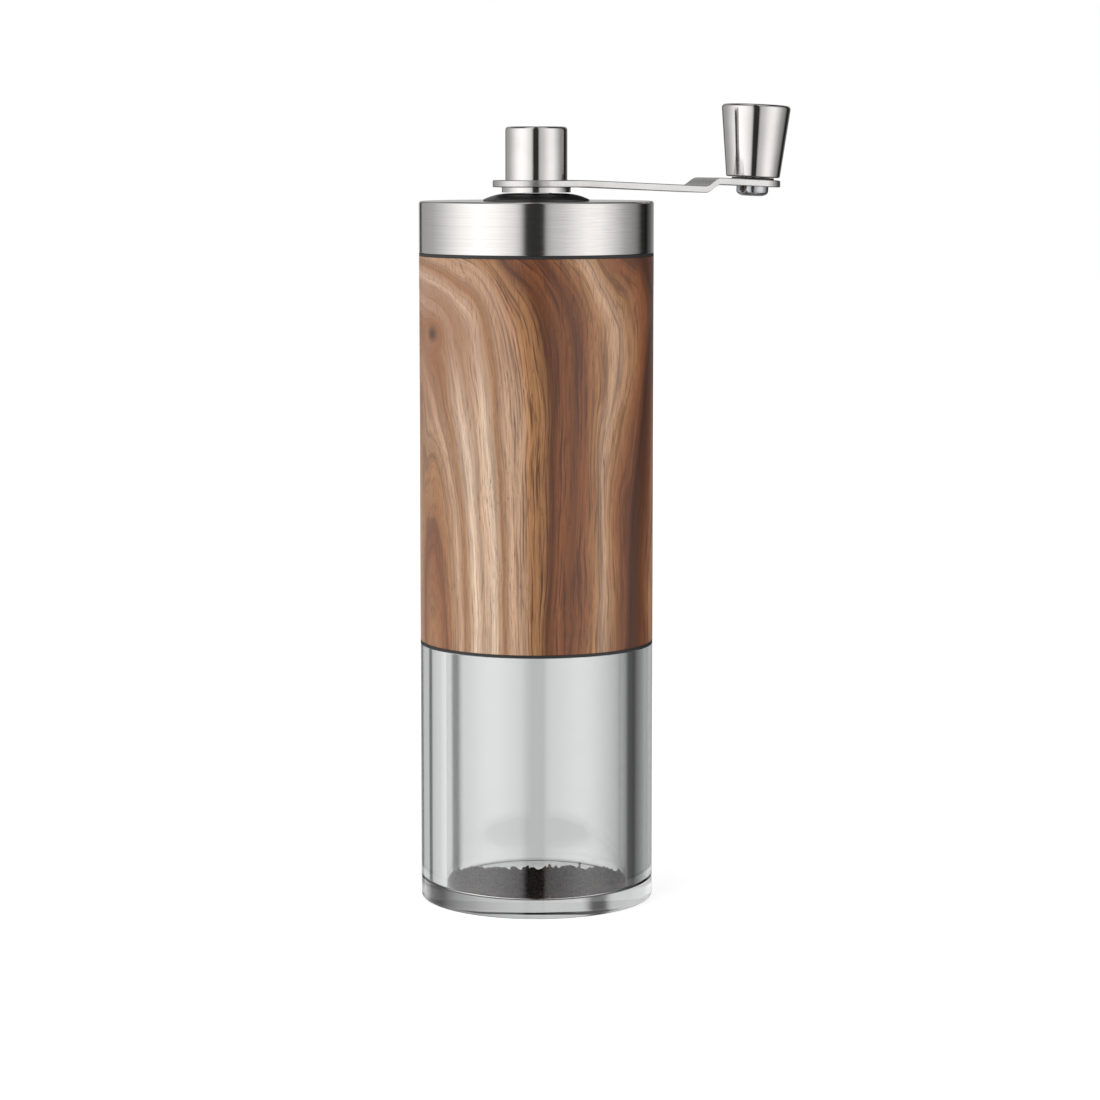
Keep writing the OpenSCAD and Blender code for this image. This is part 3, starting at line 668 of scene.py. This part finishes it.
# Stainless 304, polished and then brushed round with a fine belt. The lines are drawn 0.25 mm
# apart, about five times coarser than they are.
brushed_stainless, tree, place = new_material("brushed stainless steel")
level = add_node(tree, "ShaderNodeVectorMath", {0: place, 1: (1, 1, 0)}, operation="MULTIPLY")
brush_place = add_node(tree, "ShaderNodeCombineXYZ", {
    "X": add_node(tree, "ShaderNodeVectorMath", {0: level}, operation="LENGTH"),
    "Y": add_node(tree, "ShaderNodeSeparateXYZ", {"Vector": place}).outputs["Z"],
    "Z": add_node(tree, "ShaderNodeVectorMath", {0: place, 1: (0.03, 0.02, 0)},
                  operation="DOT_PRODUCT")})
brushing = add_node(tree, "ShaderNodeTexNoise", {
    "Vector": brush_place, "Scale": 1 / 0.25, "Detail": 3.0, "Roughness": 0.7})
add_node(tree, "ShaderNodeOutputMaterial", {"Surface": add_node(tree, "ShaderNodeBsdfPrincipled", {
    "Metallic": 1.0,
    "Base Color": add_node(tree, "ShaderNodeValToRGB", {"Fac": brushing}, stops=[
        (0.3, srgb("#aeacaa")), (0.7, srgb("#bbb9b7"))]),
    "Roughness": add_node(tree, "ShaderNodeMapRange", {
        "Value": brushing, "From Min": 0.3, "From Max": 0.7, "To Min": 0.08, "To Max": 0.15}),
    "Normal": add_node(tree, "ShaderNodeBump", {
        "Height": brushing, "Strength": 0.2, "Distance": 0.0015 * MM})})})

shell = new_piece("lid_cap", turned([
    (shell_r - shell_wall, shell_bottom, 0.1), (shell_r, shell_bottom, 0.2),
    (shell_r, shell_top, 0.5), (dome_rim_r, shell_top, 0.1), (dome_rim_r, shell_top - shell_wall),
    (shell_r - shell_wall, shell_top - shell_wall)], steps=256),
    brushed_stainless, "lid", "lid_shell")
weight_normals(shell)


# --- Crank --------------------------------------------------------------------------------------
# A tapered strip of stainless steel, pressed and tumbled, drooping outwards to a joggled pad. Its
# turned and polished hub is riveted through it to a collar below.
arm_hub_r = 9.3
arm_pad_r = 6.0
arm_t = 1.5
arm_rounding = 0.25
end_steps = 96
crank_reach = 50.5
arm_flat_x = 8.5
arm_droop = math.radians(2.6)
joggle_from, joggle_to, joggle_rise = 36.4, 40.0, 1.9
joggle_steps = 8
flat_bend = 0.5
arm_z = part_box("hub_collar")[1].z / MM


def arm_bend(x):
    """Height of the arm's underside at x above its flat end, in mm."""
    droop = -max(0.0, x - arm_flat_x) * math.tan(arm_droop)
    part = max(0.0, min(1.0, (x - joggle_from) / (joggle_to - joggle_from)))
    return droop + joggle_rise * part * part * (3 - 2 * part)


# Tumbled stainless: an even satin of tiny dents with fine handling marks.
satin_stainless, tree, place = new_material("tumbled stainless steel")
dents = add_node(tree, "ShaderNodeTexNoise", {"Vector": place, "Scale": 1 / 0.3, "Detail": 3.0})
haze = add_node(tree, "ShaderNodeTexNoise", {"Vector": place, "Scale": 1 / 6, "Detail": 3.0})
add_node(tree, "ShaderNodeOutputMaterial", {"Surface": add_node(tree, "ShaderNodeBsdfPrincipled", {
    "Metallic": 1.0,
    "Base Color": add_node(tree, "ShaderNodeValToRGB", {"Fac": haze}, stops=[
        (0.3, srgb("#a9a8a7")), (0.7, srgb("#b4b3b2"))]),
    "Roughness": add_node(tree, "ShaderNodeMapRange", {
        "Value": dents, "From Min": 0.3, "From Max": 0.7, "To Min": 0.24, "To Max": 0.36}),
    "Normal": add_node(tree, "ShaderNodeBump", {
        "Height": dents, "Strength": 0.3, "Distance": 0.01 * MM})})})

# The flat blank is the outer arcs of two discs joined by straight edges that touch both. It is cut
# across where it bends, thickened, rounded all along its rims and then bent.
mesh = bmesh.new()
taper = math.asin((arm_hub_r - arm_pad_r) / crank_reach)
for centre, radius, far_side in ((0, arm_hub_r, -1), (crank_reach, arm_pad_r, 1)):
    disc = bmesh.ops.create_circle(mesh, radius=radius * MM, segments=end_steps)
    bmesh.ops.rotate(mesh, verts=disc["verts"], cent=(0, 0, 0),
                     matrix=Matrix.Rotation(math.pi / 2 - taper, 3, "Z"))
    gone = [v for v in disc["verts"] if (v.co.x / MM / radius - math.sin(taper)) * far_side < -1e-4]
    kept = [v for v in disc["verts"] if v not in gone]
    bmesh.ops.translate(mesh, verts=kept, vec=(centre * MM, 0, 0))
    bmesh.ops.delete(mesh, geom=gone, context="VERTS")
outline = sorted(mesh.verts, key=lambda v: math.atan2(v.co.y, v.co.x - crank_reach / 2 * MM))
for edge in mesh.edges[:]:
    mesh.edges.remove(edge)
mesh.faces.new(outline)
bend_x = [arm_flat_x + flat_bend * step for step in range(-1, 2)]
bend_x += [joggle_from + (joggle_to - joggle_from) * step / joggle_steps
           for step in range(joggle_steps + 1)]
for x in bend_x:
    bmesh.ops.bisect_plane(mesh, geom=mesh.verts[:] + mesh.edges[:] + mesh.faces[:],
                           plane_co=(x * MM, 0, 0), plane_no=(1, 0, 0))
top = bmesh.ops.extrude_face_region(mesh, geom=mesh.faces[:])
bmesh.ops.translate(mesh, verts=[v for v in top["geom"] if isinstance(v, bmesh.types.BMVert)],
                    vec=(0, 0, arm_t * MM))
bmesh.ops.recalc_face_normals(mesh, faces=mesh.faces[:])
rims = [e for e in mesh.edges if len(e.link_faces) == 2 and e.calc_face_angle() > math.radians(60)]
bmesh.ops.bevel(mesh, geom=rims, offset=arm_rounding * MM, offset_type="OFFSET", segments=3,
                profile=0.5, affect="EDGES", material=-1)
for vert in mesh.verts:
    vert.co.z += (arm_z + arm_bend(vert.co.x / MM)) * MM
arm = new_piece("crank_strip", mesh, satin_stainless, "crank", "crank_arm")
weight_normals(arm)

# Stainless bar, turned and buffed to a mirror, with the last trace of its turning lines.
polished_stainless = steel(
    "polished stainless steel", "#aeacaa", "#b6b4b2", 5.0, 0.08, relief_mm=0.0)
wear(polished_stainless, "crank_hub", "hub_collar")


# --- Knob ---------------------------------------------------------------------------------------
# A solid turned knob, wider at the top, that spins on a shoulder screw from under the arm's pad.
knob_gap, knob_top = 0.5, 16.19
knob_foot_r, knob_top_r = 5.85, 7.6
knob_bore_r, knob_bore_top = 3.6, 12.5
pad_top = arm_z + arm_t - (crank_reach - arm_flat_x) * math.tan(arm_droop) + joggle_rise
on_pad = (Matrix.Translation(Vector((crank_reach, 0, pad_top)) * MM)
          @ Matrix.Rotation(arm_droop, 4, "Y"))
mesh = turned([
    (0, knob_top), (knob_top_r, knob_top, 0.9), (knob_foot_r, knob_gap, 0.3),
    (knob_bore_r, knob_gap, 0.2), (knob_bore_r, knob_bore_top), (0, knob_bore_top)], steps=128)
mesh.transform(on_pad)
knob = new_piece("knob", mesh, polished_stainless, "knob", "crank_knob")
weight_normals(knob)
